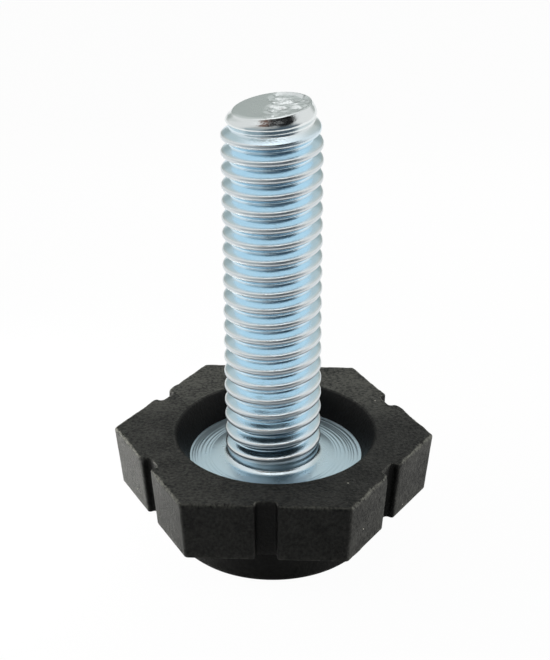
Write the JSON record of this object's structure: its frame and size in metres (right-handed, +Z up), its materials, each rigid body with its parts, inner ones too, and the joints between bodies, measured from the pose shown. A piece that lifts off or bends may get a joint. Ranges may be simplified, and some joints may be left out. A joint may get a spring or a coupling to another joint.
{
  "type": "levelling foot",
  "caption": "Screw-in levelling foot: a zinc-plated threaded steel stud whose round flange is moulded into a grooved black hexagonal plastic foot on a round floor pad.",
  "frame": {"origin": "middle of the pad's lower face, which stands on the floor", "axes": "+Z up along the stud, X through two opposite corners of the hexagon, Y square to two of its sides"},
  "size_m": [0.0312, 0.0272, 0.0447],
  "materials": {
    "zinc_plated_steel": "bright zinc plate with a clear blue passivation",
    "black_moulded_plastic": "as moulded, fine dull grain, scuffed at the edges"
  },
  "bodies": {
    "root": {"threaded_stud": "zinc_plated_steel", "hex_foot": "black_moulded_plastic"}
  },
  "joints": []
}
